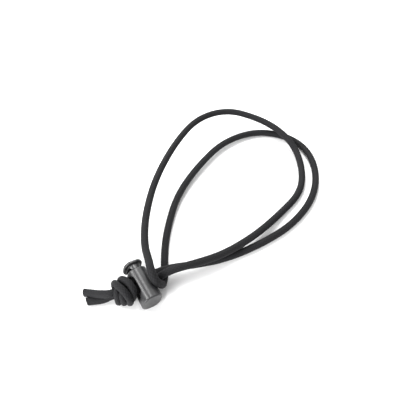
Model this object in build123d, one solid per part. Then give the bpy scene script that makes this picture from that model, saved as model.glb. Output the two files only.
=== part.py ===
from build123d import *
from math import cos, pi, radians, sin, tan
import os

# Spring cord lock on a doubled elastic cord whose two ends are knotted together.
# The lock lies on its side: +Y runs from the closed end of the barrel to the push
# button, +X is the way the cord leaves towards its loop, and Z = 0 is the table.
# The knot holds it rolled, so that the knot's side of the cord passage points up.
# All sizes are in millimetres, and angles in degrees.

# Cord
cord_diameter = 3.0
cord_radius = cord_diameter / 2

# How far the lock is rolled about its own length
lock_roll = 20

# Barrel: a rounded tube with a closed end and one long window right through it
barrel_width = 7.7
barrel_height = 8.4
barrel_corner = 3.2
barrel_length = 13.9
barrel_edge_round = 0.5
floor_thickness = 1.1
window_from_rim = 1.5
window_length = 9.5
window_height = 4.8
window_mouth_round = 0.55

# Plunger: a push flange on a slotted stem that slides in the barrel
stem_width = 5.2
stem_height = 6.2
stem_corner = 2.4
stem_clearance = 0.1
flange_width = 7.6
flange_height = 8.0
flange_corner = 3.1
flange_thickness = 1.3
flange_gap = 2.3
flange_edge_round = 0.45
flange_neck_round = 0.3
slot_above_rim = 1.8
slot_below_rim = 7.8
slot_height = 5.0
slot_end_round = 1.2
stem_below_rim = 10.4

# Spring and its two seats
spring_radius = 1.6
spring_wire = 0.36
spring_turns = 4.5
spring_end_gap = 0.02
pocket_radius = 1.95
pocket_from_rim = 8.7
boss_radius = 1.1
boss_height = 1.0

# Knot: the outer shape of a two-strand overhand knot
knot_radius = 5.1
knot_from_x = -11.2
knot_to_x = -4.4
knot_y = 0.9
knot_edge_round = 0.7

# Places worked out from the sizes above
flat_height = barrel_height / 2 - barrel_corner
flat_width = barrel_width / 2 - barrel_corner
roll_rise = flat_height * cos(radians(lock_roll)) + flat_width * sin(radians(lock_roll))
axis_height = round(barrel_corner + roll_rise, 2)
knot_strand_z = 5.96
lock_length = barrel_length + flange_gap + flange_thickness
rim_y = lock_length / 2 - flange_thickness - flange_gap
floor_from_rim = barrel_length - floor_thickness

# Route of the doubled cord, from the knot through the lock, round both parts of
# the loop and back through the lock to the knot.
strand_a_y = -0.95
strand_b_y = 2.05
loop_route = [
    (knot_to_x, strand_a_y, knot_strand_z),
    (3.2, strand_a_y, 3.3),
    (10.8, -2.3, 7.8),
    (21, -4.7, 6.4),
    (33, -6.6, 4.8),
    (49, -5.9, 3.6),
    (66, -2, 1.6),
    (80.5, 2, 1.5),
    (90, 11.5, 1.6),
    (95.8, 24, 2.8),
    (94.5, 36, 5.6),
    (90, 48, 6.2),
    (80.5, 60.5, 6.8),
    (64, 63, 7.4),
    (46, 54, 7.8),
    (27.5, 39.5, 8.2),
    (14.8, 24.6, 8.4),
    (7.8, 12.2, 8.6),
    (6.1, 4.7, 9),
    (4.6, -0.1, 10.5),
    (4.3, -4.1, 8.6),
    (6.0, -4.9, 5.3),
    (7, -3.3, 1.5),
    (9.9, 0.5, 1.5),
    (13.5, 7.5, 1.5),
    (20, 17, 1.6),
    (32.5, 30, 2.4),
    (49, 39, 3),
    (68, 46, 2.8),
    (86, 44.3, 1.8),
    (97, 35, 1.5),
    (101, 22.5, 1.5),
    (96, 8.5, 1.5),
    (84, -3.2, 1.5),
    (67, -9.2, 1.5),
    (50, -9.6, 1.5),
    (34, -7.4, 1.5),
    (21.5, -3.6, 3),
    (11.4, -0.2, 5.2),
    (3.8, 2.2, 3.1),
    (knot_to_x, strand_b_y, knot_strand_z),
]

# Routes of the two cut tails on the far side of the knot
upper_tail_route = [
    (knot_from_x, 2.9, 4.6),
    (-14.2, 5, 3),
    (-17.1, 7.3, 1.8),
    (-20.2, 9.4, 1.5),
]
lower_tail_route = [
    (knot_from_x, 0.9, 2.4),
    (-14.4, 2.2, 1.6),
    (-17.6, 4.2, 1.5),
    (-20.6, 5.7, 1.5),
]


def section_plane(from_rim):
    """Plane square to the barrel, this far from its rim, with X across and Y up."""
    return Plane(
        origin=(0, rim_y - from_rim, axis_height),
        x_dir=(1, 0, 0),
        z_dir=(0, -1, 0),
    )


def opening_plane(first, last):
    """Plane square to X, centred between two distances from the rim."""
    middle = rim_y - (first + last) / 2
    return Plane(origin=(0, middle, axis_height), x_dir=(0, 1, 0), z_dir=(1, 0, 0))


def rolled(shape):
    """The shape turned about the lock's length, so that its -X side goes up."""
    return shape.rotate(Axis((0, 0, axis_height), (0, 1, 0)), lock_roll)


def make_barrel():
    cavity_width = stem_width + 2 * stem_clearance
    cavity_height = stem_height + 2 * stem_clearance
    cavity_corner = stem_corner + stem_clearance
    window_end = window_from_rim + window_length
    with BuildPart() as barrel:
        with BuildSketch(section_plane(0)):
            RectangleRounded(barrel_width, barrel_height, barrel_corner)
        extrude(amount=barrel_length)
        fillet(barrel.faces().filter_by(Axis.Y).edges(), barrel_edge_round)
        with BuildSketch(opening_plane(window_from_rim, window_end)):
            SlotOverall(window_length, window_height)
        extrude(amount=barrel_width, both=True, mode=Mode.SUBTRACT)
        fillet(window_mouth_edges(barrel), window_mouth_round)
        with BuildSketch(section_plane(0)):
            RectangleRounded(cavity_width, cavity_height, cavity_corner)
        extrude(amount=floor_from_rim, mode=Mode.SUBTRACT)
        with BuildSketch(section_plane(floor_from_rim)):
            Circle(boss_radius)
        extrude(amount=-boss_height)
    return rolled(barrel.part)


def window_mouth_edges(barrel):
    """Edges where the window meets the barrel's outer skin, on both sides."""
    cavity_side = stem_width / 2 + stem_clearance
    found = []
    for edge in barrel.edges():
        box = edge.bounding_box()
        nearest = min(abs(box.min.X), abs(box.max.X))
        inside_rim = box.max.Y < rim_y - window_from_rim / 2
        inside_floor = box.min.Y > rim_y - floor_from_rim
        within_height = box.max.Z - axis_height < window_height / 2 + 0.01
        if nearest > cavity_side + 0.2 and inside_rim and inside_floor and within_height:
            found.append(edge)
    return found


def make_plunger():
    with BuildPart() as plunger:
        with BuildSketch(section_plane(-flange_gap)):
            RectangleRounded(flange_width, flange_height, flange_corner)
        extrude(amount=-flange_thickness)
        fillet(plunger.faces().filter_by(Axis.Y).edges(), flange_edge_round)
        with BuildSketch(section_plane(-flange_gap)):
            RectangleRounded(stem_width, stem_height, stem_corner)
        extrude(amount=flange_gap + stem_below_rim)
        fillet(neck_edges(plunger), flange_neck_round)
        with BuildSketch(opening_plane(-slot_above_rim, slot_below_rim)):
            RectangleRounded(slot_above_rim + slot_below_rim, slot_height, slot_end_round)
        extrude(amount=stem_width, both=True, mode=Mode.SUBTRACT)
        with BuildSketch(section_plane(stem_below_rim)):
            Circle(pocket_radius)
        extrude(amount=pocket_from_rim - stem_below_rim, mode=Mode.SUBTRACT)
    return rolled(plunger.part)


def neck_edges(plunger):
    """Edges where the stem grows out of the underside of the flange."""
    neck_y = rim_y + flange_gap
    half_width = stem_width / 2 + 0.01
    half_height = stem_height / 2 + 0.01
    found = []
    for edge in plunger.edges():
        box = edge.bounding_box()
        at_neck = abs(box.min.Y - neck_y) < 0.01 and abs(box.max.Y - neck_y) < 0.01
        if at_neck and box.max.X < half_width and box.max.Z - axis_height < half_height:
            if box.min.X > -half_width and axis_height - box.min.Z < half_height:
                found.append(edge)
    return found


def make_spring():
    seat_distance = floor_from_rim - pocket_from_rim
    height = seat_distance - spring_wire - 2 * spring_end_gap
    start_y = rim_y - pocket_from_rim - spring_wire / 2 - spring_end_gap
    coil = Helix(
        pitch=height / spring_turns,
        height=height,
        radius=spring_radius,
        center=(0, start_y, axis_height),
        direction=(0, -1, 0),
    )
    wire_plane = Plane(origin=coil @ 0, z_dir=coil % 0)
    return sweep(wire_plane * Circle(spring_wire / 2), path=coil)


def corner_radii(route):
    """Largest even bend at each corner that its two runs leave room for."""
    share_of_run = 0.45
    radii = []
    for before, corner, after in zip(route, route[1:], route[2:]):
        first_run = Vector(corner) - Vector(before)
        second_run = Vector(after) - Vector(corner)
        half_turn = radians(first_run.get_angle(second_run)) / 2
        shorter = min(first_run.length, second_run.length)
        radii.append(share_of_run * shorter / tan(half_turn))
    return radii


def make_cord(name, route):
    radii = corner_radii(route)
    path = Wire(FilletPolyline(*route, radius=radii).edges())
    tube_section = Plane(origin=path @ 0, z_dir=path % 0) * Circle(cord_radius)
    tube = sweep(tube_section, path=path)
    expected = pi * cord_radius**2 * path.length
    print(name, "radii", [round(radius, 1) for radius in radii])
    print(name, "length", round(path.length, 1), "volume ratio", round(tube.volume / expected, 4))
    return tube


def make_knot():
    start = Plane(origin=(knot_from_x, knot_y, knot_radius), x_dir=(0, 1, 0), z_dir=(1, 0, 0))
    with BuildPart() as knot:
        with BuildSketch(start):
            Circle(knot_radius)
        extrude(amount=knot_to_x - knot_from_x)
        fillet(knot.edges().filter_by(GeomType.CIRCLE), knot_edge_round)
    return knot.part


parts = {
    "barrel": make_barrel(),
    "plunger": make_plunger(),
    "compression_spring": make_spring(),
    "cord_loop": make_cord("cord_loop", loop_route),
    "cord_knot": make_knot(),
    "cord_tail_upper": make_cord("cord_tail_upper", upper_tail_route),
    "cord_tail_lower": make_cord("cord_tail_lower", lower_tail_route),
}

os.makedirs("parts", exist_ok=True)
for node, shape in parts.items():
    export_step(shape, f"parts/{node}.step")
    print(node, "volume", round(shape.volume, 2))
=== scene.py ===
import math

import bmesh
import bpy
from mathutils import Matrix, Vector


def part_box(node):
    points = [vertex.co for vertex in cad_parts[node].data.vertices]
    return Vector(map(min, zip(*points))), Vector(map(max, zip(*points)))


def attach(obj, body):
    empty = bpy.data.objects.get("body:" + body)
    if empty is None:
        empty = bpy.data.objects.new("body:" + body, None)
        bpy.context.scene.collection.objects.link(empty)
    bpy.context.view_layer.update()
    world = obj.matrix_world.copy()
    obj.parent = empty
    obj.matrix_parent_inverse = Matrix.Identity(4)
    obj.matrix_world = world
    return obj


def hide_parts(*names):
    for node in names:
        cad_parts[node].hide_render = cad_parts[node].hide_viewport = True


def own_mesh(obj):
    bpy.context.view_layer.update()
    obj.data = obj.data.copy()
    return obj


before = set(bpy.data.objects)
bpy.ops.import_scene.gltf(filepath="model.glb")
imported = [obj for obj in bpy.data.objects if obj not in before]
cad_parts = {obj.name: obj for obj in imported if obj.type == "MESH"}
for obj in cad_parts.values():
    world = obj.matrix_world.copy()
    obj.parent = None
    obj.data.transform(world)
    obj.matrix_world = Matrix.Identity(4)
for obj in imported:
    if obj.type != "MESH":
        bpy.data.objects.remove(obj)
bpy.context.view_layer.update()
scene = bpy.context.scene
mm = 0.001
print("frame loaded:", ", ".join(sorted(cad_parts)))


# camera

cameraSet = {
    "position": (-10.9, -61.9, 138.2),
    "lookAt": (41.2, 19.6, 0),
    "fieldOfView": 56.99,
    "nearestSeen": 5,
}


def turnTo(position, target):
    return (Vector(target) - Vector(position)).to_track_quat("-Z", "Y").to_euler()


def makeCamera():
    camera = bpy.data.objects.new("camera", bpy.data.cameras.new("camera"))
    camera.location = Vector(cameraSet["position"]) * mm
    camera.rotation_euler = turnTo(cameraSet["position"], cameraSet["lookAt"])
    camera.data.angle = math.radians(cameraSet["fieldOfView"])
    camera.data.clip_start = cameraSet["nearestSeen"] * mm
    scene.collection.objects.link(camera)
    scene.camera = camera


makeCamera()
print("camera placed")


# material helpers: every material is nodes on one Principled shader

def newMaterial(name, **values):
    material = bpy.data.materials.new(name)
    material.use_nodes = True
    shader = material.node_tree.nodes["Principled BSDF"]
    for socket, value in values.items():
        shader.inputs[socket].default_value = value
    return material, shader


def addNode(material, kind, **settings):
    node = material.node_tree.nodes.new(kind)
    for key, value in settings.items():
        if key in node.inputs:
            node.inputs[key].default_value = value
        else:
            setattr(node, key, value)
    return node


def join(material, source, target):
    material.node_tree.links.new(source, target)


def mathNode(material, operation, first, second=None):
    node = addNode(material, "ShaderNodeMath", operation=operation)
    for socket, value in zip(node.inputs, (first, second)):
        if isinstance(value, bpy.types.NodeSocket):
            join(material, value, socket)
        elif value is not None:
            socket.default_value = value
    return node.outputs[0]


def rangeNode(material, value, fromEnds, toEnds):
    node = addNode(material, "ShaderNodeMapRange")
    join(material, value, node.inputs["Value"])
    node.inputs["From Min"].default_value, node.inputs["From Max"].default_value = fromEnds
    node.inputs["To Min"].default_value, node.inputs["To Max"].default_value = toEnds
    return node.outputs["Result"]


def mixValues(material, factor, first, second):
    node = addNode(material, "ShaderNodeMix", data_type="FLOAT")
    sockets = (node.inputs[0], node.inputs[2], node.inputs[3])
    for socket, value in zip(sockets, (factor, first, second)):
        join(material, value, socket)
    return node.outputs[0]


def mixColours(material, factor, first, second):  # a colour is either a value or a socket
    node = addNode(material, "ShaderNodeMix", data_type="RGBA")
    join(material, factor, node.inputs[0])
    for socket, colour in zip((node.inputs[6], node.inputs[7]), (first, second)):
        if isinstance(colour, bpy.types.NodeSocket):
            join(material, colour, socket)
        else:
            socket.default_value = colour
    return node.outputs[2]


def objectNoise(material, noise, stretch=(1, 1, 1)):  # noise is its scale, detail and roughness
    scale, detail, rough = noise
    place = addNode(material, "ShaderNodeTexCoord").outputs["Object"]
    mapping = addNode(material, "ShaderNodeMapping")
    mapping.inputs["Scale"].default_value = stretch
    join(material, place, mapping.inputs["Vector"])
    node = addNode(material, "ShaderNodeTexNoise", Scale=scale, Detail=detail, Roughness=rough)
    join(material, mapping.outputs[0], node.inputs["Vector"])
    return node.outputs["Fac"]


def addBump(material, shader, height, strength, distance):
    bump = addNode(material, "ShaderNodeBump", Strength=strength, Distance=distance * mm)
    join(material, height, bump.inputs["Height"])
    join(material, bump.outputs[0], shader.inputs["Normal"])


def newPiece(name, shape):  # turns a finished bmesh into a smooth object
    bmesh.ops.recalc_face_normals(shape, faces=shape.faces)
    mesh = bpy.data.meshes.new(name)
    shape.to_mesh(mesh)
    shape.free()
    mesh.shade_smooth()
    piece = bpy.data.objects.new(name, mesh)
    scene.collection.objects.link(piece)
    return piece


# cord: one black braid over an elastic core

cordSet = {
    "diameter": 3.0,
    "ringStep": 0.27,
    "pointsRound": 40,
    "weldDistance": 0.001,
    "rimReach": 1.2,
    "routeOrder": 3,
    "routeSteps": 24,
    "yarnsEachWay": 8,
    "turnLength": 10.4,
    "yarnHeight": 0.075,
    "yarnSharpness": 0.7,
    "threadWaves": 12,
    "threadHeight": 0.12,
    "bumpStrength": 0.5,
    "bumpDistance": 0.06,
    # painted shade: the recesses between the yarns are given a near-black colour
    "gapShadeColour": (0.002, 0.002, 0.0022, 1),
    "gapShadeEnds": (0.05, 0.7),
    "yarnColour": (0.008, 0.008, 0.0088, 1),
    "wornColour": (0.014, 0.014, 0.0155, 1),
    "wearNoise": (220, 4, 0.6),
    "wearEnds": (0.3, 0.7),
    "roughness": (0.62, 0.8),
    "specular": 0.16,
    "sheen": 0.03,
    "sheenRoughness": 0.5,
    "sheenTint": (0.8, 0.8, 0.85, 1),
}

# both knotted strands, and the sealed cut where each one ends
tailSet = {
    "looseLength": 13,
    "easeLength": 4,
    "pulledThin": 0.14,
    "sealedTip": [(-0.04, 0.3), (0.0, 0.12), (0.16, 0.06), (0.3, -0.04)],
    "cutSlant": -0.3,
}

# the doubled cord, from the knot through the lock, round the loop and back
loopRoute = [
    (-4.4, -0.95, 5.5),
    (3.2, -0.95, 3.2),
    (10.8, -2.3, 7.8),
    (21, -4.7, 6.4),
    (33, -6.6, 4.8),
    (49, -5.9, 3.6),
    (66, -2, 1.6),
    (80.5, 2, 1.5),
    (90, 11.5, 1.6),
    (95.8, 24, 2.8),
    (94.5, 36, 5.6),
    (90, 48, 6.2),
    (80.5, 60.5, 6.8),
    (64, 63, 7.4),
    (46, 54, 7.8),
    (27.5, 39.5, 8.2),
    (14.8, 24.6, 8.4),
    (7.8, 12.2, 8.6),
    (6.1, 4.7, 9),
    (4.6, -0.1, 10.5),
    (4.3, -4.1, 8.6),
    (6.0, -4.9, 5.3),
    (7.0, -3.3, 1.5),
    (9.9, 0.5, 1.5),
    (13.5, 7.5, 1.5),
    (20, 17, 1.6),
    (32.5, 30, 2.4),
    (49, 39, 3),
    (68, 46, 2.8),
    (86, 44.3, 1.8),
    (97, 35, 1.5),
    (101, 22.5, 1.5),
    (96, 8.5, 1.5),
    (84, -3.2, 1.5),
    (67, -9.2, 1.5),
    (50, -9.6, 1.5),
    (34, -7.4, 1.5),
    (21.5, -3.6, 3),
    (11.4, -0.2, 5.2),
    (3.8, 2.2, 3.0),
    (-4.4, 2.05, 5.5),
]

# the near strand: out of the lock, through the knot, once round it and out as the lower tail
nearRoute = [
    (-4.4, -0.95, 5.5),
    (-5.6, -0.6, 5.4),
    (-7.2, -0.4, 6.0),
    (-8.2, -0.9, 7.2),
    (-8.5, -2.3, 6.2),
    (-8.8, -2.8, 3.8),
    (-8.7, -2.0, 1.5),
    (-8.0, 0.6, 1.3),
    (-7.2, 3.6, 1.6),
    (-6.5, 5.2, 4.4),
    (-5.9, 4.5, 7.3),
    (-4.9, 2.5, 8.7),
    (-4.1, -0.1, 9.2),
    (-4.1, -2.5, 8.1),
    (-4.9, -3.5, 5.6),
    (-6.1, -3.1, 3.0),
    (-7.0, -1.0, 3.2),
    (-8.8, 1.1, 3.4),
    (-11.2, 2.4, 3.0),
    (-14.4, 3.1, 1.7),
    (-17.4, 4.4, 1.5),
    (-20.0, 5.8, 1.5),
]

# the far strand lies beside it all the way and comes out as the upper tail
farRoute = [
    (-4.4, 2.05, 5.5),
    (-6.0, 1.9, 5.6),
    (-7.8, 1.7, 6.1),
    (-9.2, 1.1, 7.1),
    (-9.9, -0.4, 6.4),
    (-10.4, -1.4, 4.1),
    (-10.4, -1.0, 1.6),
    (-9.9, 1.2, 1.3),
    (-9.4, 3.9, 1.7),
    (-8.9, 5.3, 4.4),
    (-8.6, 4.4, 7.2),
    (-8.0, 1.7, 8.6),
    (-7.3, -0.7, 9.2),
    (-6.8, -3.0, 8.4),
    (-6.6, -4.4, 5.8),
    (-7.1, -4.0, 3.0),
    (-7.0, -1.8, 1.6),
    (-7.0, 1.2, 3.0),
    (-8.8, 2.2, 5.0),
    (-11.2, 1.6, 5.9),
    (-14.2, 3.8, 4.7),
    (-17.1, 6.9, 2.8),
    (-19.4, 9.4, 1.6),
]


def readRoute(route):  # points along the smooth line that the route's points control
    curve = bpy.data.curves.new("route", "CURVE")
    curve.dimensions = "3D"
    spline = curve.splines.new("NURBS")
    spline.points.add(len(route) - 1)
    for point, place in zip(spline.points, route):
        point.co = (*(Vector(place) * mm), 1)
    spline.order_u = cordSet["routeOrder"]
    spline.use_endpoint_u = True
    spline.resolution_u = cordSet["routeSteps"]
    holder = bpy.data.objects.new("route", curve)
    scene.collection.objects.link(holder)
    line = [vertex.co.copy() for vertex in bpy.data.meshes.new_from_object(holder).vertices]
    bpy.data.objects.remove(holder)
    return line


def evenLine(line, step):  # the same line as evenly spaced points, and its length
    marks = [0.0]
    for first, second in zip(line, line[1:]):
        marks.append(marks[-1] + (second - first).length)
    count = round(marks[-1] / step)
    spaced = []
    span = 0
    for number in range(count + 1):
        place = marks[-1] * number / count
        while span < len(line) - 2 and marks[span + 1] < place:
            span += 1
        share = (place - marks[span]) / (marks[span + 1] - marks[span])
        spaced.append(line[span].lerp(line[span + 1], min(1, share)))
    return spaced, marks[-1]


def sideFrames(line):  # two side directions at every point, carried along without twist
    side = Vector((0, 0, 1)).cross(line[1] - line[0]).normalized()
    frames = []
    for number, point in enumerate(line):
        ahead = line[min(number + 1, len(line) - 1)] - line[max(number - 1, 0)]
        ahead.normalize()
        side = (side - ahead * side.dot(ahead)).normalized()
        frames.append((point, side, ahead.cross(side)))
    return frames


def yarnRelief(turn, along):  # height of the braid: 0 in a gap, 1 on a yarn's crown
    oneWay = cordSet["yarnsEachWay"] * (turn + along / cordSet["turnLength"])
    otherWay = cordSet["yarnsEachWay"] * (turn - along / cordSet["turnLength"])
    over = (math.floor(oneWay) + math.floor(otherWay)) % 2
    return abs(math.sin(math.pi * (oneWay if over else otherWay))) ** cordSet["yarnSharpness"]


def closeEnd(shape, point, outward, tip):  # fills an open end, after a tip has been shaped on it
    near = cordSet["rimReach"] * cordSet["diameter"] / 2 * mm
    rim = [edge for edge in shape.edges if edge.is_boundary]
    rim = [edge for edge in rim if (edge.verts[0].co - point).length < near]
    across = Vector((0, 0, 1)).cross(outward).normalized()
    if tip:  # the cut is slanted
        for vertex in {vertex for edge in rim for vertex in edge.verts}:
            vertex.co += outward * tailSet["cutSlant"] * (vertex.co - point).dot(across)
    for inset, push in tip:
        made = bmesh.ops.extrude_edge_only(shape, edges=rim)["geom"]
        rim = [item for item in made if isinstance(item, bmesh.types.BMEdge)]
        for vertex in {vertex for edge in rim for vertex in edge.verts}:
            vertex.co = vertex.co.lerp(point, inset) + outward * push * mm
    bmesh.ops.contextual_create(shape, geom=rim)


def braidedCord(name, line, radiusAt, tip):
    frames = sideFrames(line)
    rings = len(line) - 1
    length = sum((second - first).length for first, second in zip(line, line[1:])) / mm
    shape = bmesh.new()
    uvLayer = shape.loops.layers.uv.new("UVMap")
    around = cordSet["pointsRound"]
    bmesh.ops.create_grid(shape, x_segments=around, y_segments=rings, size=0.5, calc_uvs=True)
    for face in shape.faces:
        for corner in face.loops:
            u, v = corner[uvLayer].uv
            corner[uvLayer].uv = (u, v * length / cordSet["turnLength"])
    for vertex in shape.verts:  # rolls the flat grid into a tube along the line
        turn, share = vertex.co.x + 0.5, vertex.co.y + 0.5
        point, side, up = frames[round(share * rings)]
        relief = (yarnRelief(turn, share * length) - 0.5) * cordSet["yarnHeight"]
        angle = 2 * math.pi * turn
        radius = (radiusAt(share * length, length) + relief) * mm
        vertex.co = point + (side * math.cos(angle) + up * math.sin(angle)) * radius
    bmesh.ops.remove_doubles(shape, verts=shape.verts, dist=cordSet["weldDistance"] * mm)
    closeEnd(shape, line[0], (line[0] - line[1]).normalized(), [])
    closeEnd(shape, line[-1], (line[-1] - line[-2]).normalized(), tip)
    return newPiece(name, shape)


def evenRadius(along, length):
    return cordSet["diameter"] / 2


def knottedRadius(along, length):  # thinner where the knot holds it stretched
    loose, ease = tailSet["looseLength"], tailSet["easeLength"]
    start = min(1, along / ease)
    end = min(1, max(0, length - loose - along) / ease)
    return cordSet["diameter"] / 2 * (1 - tailSet["pulledThin"] * min(start, end))


def cordMaterial():
    look = {"Specular IOR Level": cordSet["specular"], "Sheen Weight": cordSet["sheen"]}
    material, shader = newMaterial("blackBraid", **look)
    shader.inputs["Sheen Roughness"].default_value = cordSet["sheenRoughness"]
    shader.inputs["Sheen Tint"].default_value = cordSet["sheenTint"]
    split = addNode(material, "ShaderNodeSeparateXYZ")
    join(material, addNode(material, "ShaderNodeTexCoord").outputs["UV"], split.inputs[0])
    turn, along = split.outputs[0], split.outputs[1]

    def wave(place, count):  # count half waves across each yarn
        angle = mathNode(material, "MULTIPLY", place, count * math.pi)
        return mathNode(material, "SINE", angle)

    ways = []
    for operation in ("ADD", "SUBTRACT"):
        place = mathNode(material, operation, turn, along)
        place = mathNode(material, "MULTIPLY", place, cordSet["yarnsEachWay"])
        crown = mathNode(material, "ABSOLUTE", wave(place, 1))
        thread = wave(place, cordSet["threadWaves"])
        ways.append((crown, thread, mathNode(material, "FLOOR", place)))
    (oneCrown, oneThread, oneFloor), (otherCrown, otherThread, otherFloor) = ways
    parity = mathNode(material, "ADD", oneFloor, otherFloor)
    over = mathNode(material, "FLOORED_MODULO", parity, 2)
    crown = mixValues(material, over, otherCrown, oneCrown)
    thread = mixValues(material, over, otherThread, oneThread)

    wear = objectNoise(material, cordSet["wearNoise"])
    body = mixColours(material, wear, cordSet["yarnColour"], cordSet["wornColour"])
    # painted shade: the colour darkens to near black in the gaps between yarns, away from the
    # crowns
    unshadedShare = rangeNode(material, crown, cordSet["gapShadeEnds"], (0, 1))
    colour = mixColours(material, unshadedShare, cordSet["gapShadeColour"], body)
    join(material, colour, shader.inputs["Base Color"])
    rough = rangeNode(material, wear, cordSet["wearEnds"], cordSet["roughness"])
    join(material, rough, shader.inputs["Roughness"])
    height = mathNode(material, "ADD", thread, 1)
    height = mathNode(material, "MULTIPLY", height, cordSet["threadHeight"])
    height = mathNode(material, "ADD", height, crown)
    addBump(material, shader, height, cordSet["bumpStrength"], cordSet["bumpDistance"])
    return material


braid = cordMaterial()


def layCord(name, route, radiusAt, tip, stands):
    line, length = evenLine(readRoute(route), cordSet["ringStep"] * mm)
    piece = braidedCord(name, line, radiusAt, tip)
    piece.data.materials.append(braid)
    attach(piece, "barrel")
    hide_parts(*stands)
    print(f"{name}: {length / mm:.0f} mm of cord, {len(piece.data.polygons)} faces")


# each strand leaves the lock at a mouth of the rolled passage
layCord(
    "loopCord",
    loopRoute,
    evenRadius,
    tip=[],
    stands=["cord_loop"],
)
layCord(
    "nearTailCord",
    nearRoute,
    knottedRadius,
    tip=tailSet["sealedTip"],
    stands=["cord_knot", "cord_tail_lower"],
)
layCord(
    "farTailCord",
    farRoute,
    knottedRadius,
    tip=tailSet["sealedTip"],
    stands=["cord_knot", "cord_tail_upper"],
)


# lock: the barrel and the plunger keep their own shapes

plasticSet = {
    "baseColour": (0.012, 0.012, 0.013, 1),
    "dustColour": (0.02, 0.02, 0.021, 1),
    "specular": 0.55,
    "ior": 1.49,
    "cloudNoise": (380, 3, 0.55),
    "cloudEnds": (0.35, 0.65),
    "roughness": (0.3, 0.42),
    "grainNoise": (5200, 2, 0.5),
    "dragNoise": (900, 4, 0.6),
    "dragStretch": (1, 0.12, 1),
    "bumpStrength": 0.18,
    "bumpDistance": 0.03,
}


def plasticMaterial():
    look = {"Specular IOR Level": plasticSet["specular"], "IOR": plasticSet["ior"]}
    material, shader = newMaterial("blackPlastic", **look)
    cloud = objectNoise(material, plasticSet["cloudNoise"])
    colour = mixColours(material, cloud, plasticSet["baseColour"], plasticSet["dustColour"])
    join(material, colour, shader.inputs["Base Color"])
    rough = rangeNode(material, cloud, plasticSet["cloudEnds"], plasticSet["roughness"])
    join(material, rough, shader.inputs["Roughness"])
    grain = objectNoise(material, plasticSet["grainNoise"])
    drag = objectNoise(material, plasticSet["dragNoise"], plasticSet["dragStretch"])
    height = mathNode(material, "ADD", grain, drag)
    addBump(material, shader, height, plasticSet["bumpStrength"], plasticSet["bumpDistance"])
    return material


def finishNode(node, material):
    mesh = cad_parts[node].data
    mesh.materials.clear()
    mesh.materials.append(material)


plastic = plasticMaterial()
finishNode("barrel", plastic)
finishNode("plunger", plastic)
print("lock finished")


# spring: closed turns at both ends and open ones between

springSet = {
    "wireRadius": 0.18,
    "closedTurns": 1,
    "closedPitch": 0.38,
    "openTurns": 3,
    "stepsPerTurn": 28,
    "wireSides": 10,
    "travel": 2.1,
    "baseColour": (0.42, 0.42, 0.44, 1),
    "drawnColour": (0.55, 0.55, 0.57, 1),
    "drawnNoise": (2400, 3, 0.6),
    "drawnStretch": (1, 0.2, 1),
    "drawnEnds": (0.3, 0.7),
    "roughness": (0.25, 0.42),
}


def springMaterial():
    material, shader = newMaterial("springWire", Metallic=1.0)
    drawn = objectNoise(material, springSet["drawnNoise"], springSet["drawnStretch"])
    colour = mixColours(material, drawn, springSet["baseColour"], springSet["drawnColour"])
    join(material, colour, shader.inputs["Base Color"])
    rough = rangeNode(material, drawn, springSet["drawnEnds"], springSet["roughness"])
    join(material, rough, shader.inputs["Roughness"])
    return material


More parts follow.
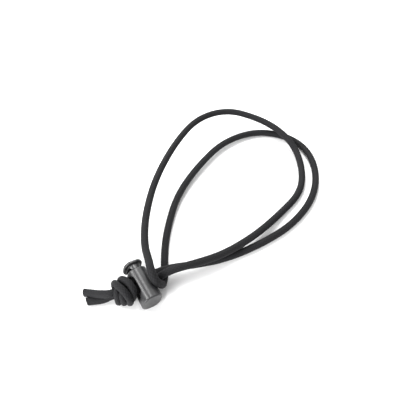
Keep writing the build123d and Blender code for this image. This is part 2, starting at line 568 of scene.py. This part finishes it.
def windSpring():  # wound up the Z axis, then laid along the lock between its seats
    low, high = [Vector(corner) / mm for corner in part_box("compression_spring")]
    wire, sides = springSet["wireRadius"], springSet["wireSides"]
    coilRadius = (high.x - low.x) / 2 - wire
    closedRise = springSet["closedTurns"] * springSet["closedPitch"]
    openRise = high.y - low.y - 2 * wire - 2 * closedRise
    shape = bmesh.new()
    start = Matrix.Translation((coilRadius, 0, wire)) @ Matrix.Rotation(math.pi / 2, 4, "X")
    made = bmesh.ops.create_circle(shape, radius=wire, segments=sides, matrix=start)
    front = list({edge for vertex in made["verts"] for edge in vertex.link_edges})
    firstRing = list(front)
    closedRun = (springSet["closedTurns"], closedRise)
    openRun = (springSet["openTurns"], openRise)
    for turns, rise in (closedRun, openRun, closedRun):
        steps = turns * springSet["stepsPerTurn"]
        spun = bmesh.ops.spin(
            shape,
            geom=front,
            cent=(0, 0, 0),
            axis=(0, 0, 1),
            dvec=(0, 0, rise / steps),
            angle=2 * math.pi * turns,
            steps=steps,
            use_merge=False,
        )
        front = [item for item in spun["geom_last"] if isinstance(item, bmesh.types.BMEdge)]
    bmesh.ops.contextual_create(shape, geom=firstRing)
    bmesh.ops.contextual_create(shape, geom=front)
    middle = (low + high) / 2
    lay = Matrix.Translation((middle.x, low.y, middle.z)) @ Matrix.Rotation(-math.pi / 2, 4, "X")
    bmesh.ops.transform(shape, matrix=Matrix.Scale(mm, 4) @ lay, verts=shape.verts)
    spring = newPiece("springCoil", shape)
    spring.data.materials.append(springMaterial())
    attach(spring, "barrel")
    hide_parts("compression_spring")
    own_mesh(spring)


windSpring()
print("spring wound")


# floor and soft light

stageSet = {
    "floorSize": 3000,
    "floorColour": (0.9, 0.9, 0.9, 1),
    "floorRoughness": 0.8,
    "worldColour": (1, 1, 1, 1),
    "worldStrength": 0.85,
}

# places and sizes in mm, power in watts, and every lamp faces the lock
lampSet = {
    "keyLamp": {"position": (-215, 210, 320), "size": (120, 240), "power": 1.5},
    "rimLamp": {"position": (150, 200, 270), "size": (55, 240), "power": 1.2},
    "sideLamp": {"position": (-330, -120, 120), "size": (200, 240), "power": 2.2},
}


def makeFloor():
    shape = bmesh.new()
    bmesh.ops.create_grid(shape, x_segments=1, y_segments=1, size=stageSet["floorSize"] / 2 * mm)
    mesh = bpy.data.meshes.new("floor")
    shape.to_mesh(mesh)
    shape.free()
    floor = bpy.data.objects.new("floor", mesh)
    scene.collection.objects.link(floor)
    look = {"Base Color": stageSet["floorColour"], "Roughness": stageSet["floorRoughness"]}
    mesh.materials.append(newMaterial("paleFloor", **look)[0])


def makeLamps():
    for name, values in lampSet.items():
        lamp = bpy.data.lights.new(name, "AREA")
        lamp.shape = "RECTANGLE"
        lamp.size, lamp.size_y = [side * mm for side in values["size"]]
        lamp.energy = values["power"]
        holder = bpy.data.objects.new(name, lamp)
        holder.location = Vector(values["position"]) * mm
        holder.rotation_euler = turnTo(values["position"], (0, 0, 0))
        scene.collection.objects.link(holder)


def makeWorld():
    world = bpy.data.worlds.new("studio")
    world.use_nodes = True
    background = world.node_tree.nodes["Background"]
    background.inputs["Color"].default_value = stageSet["worldColour"]
    background.inputs["Strength"].default_value = stageSet["worldStrength"]
    scene.world = world


makeFloor()
makeLamps()
makeWorld()
scene.view_settings.view_transform = "Standard"
print("stage lit")
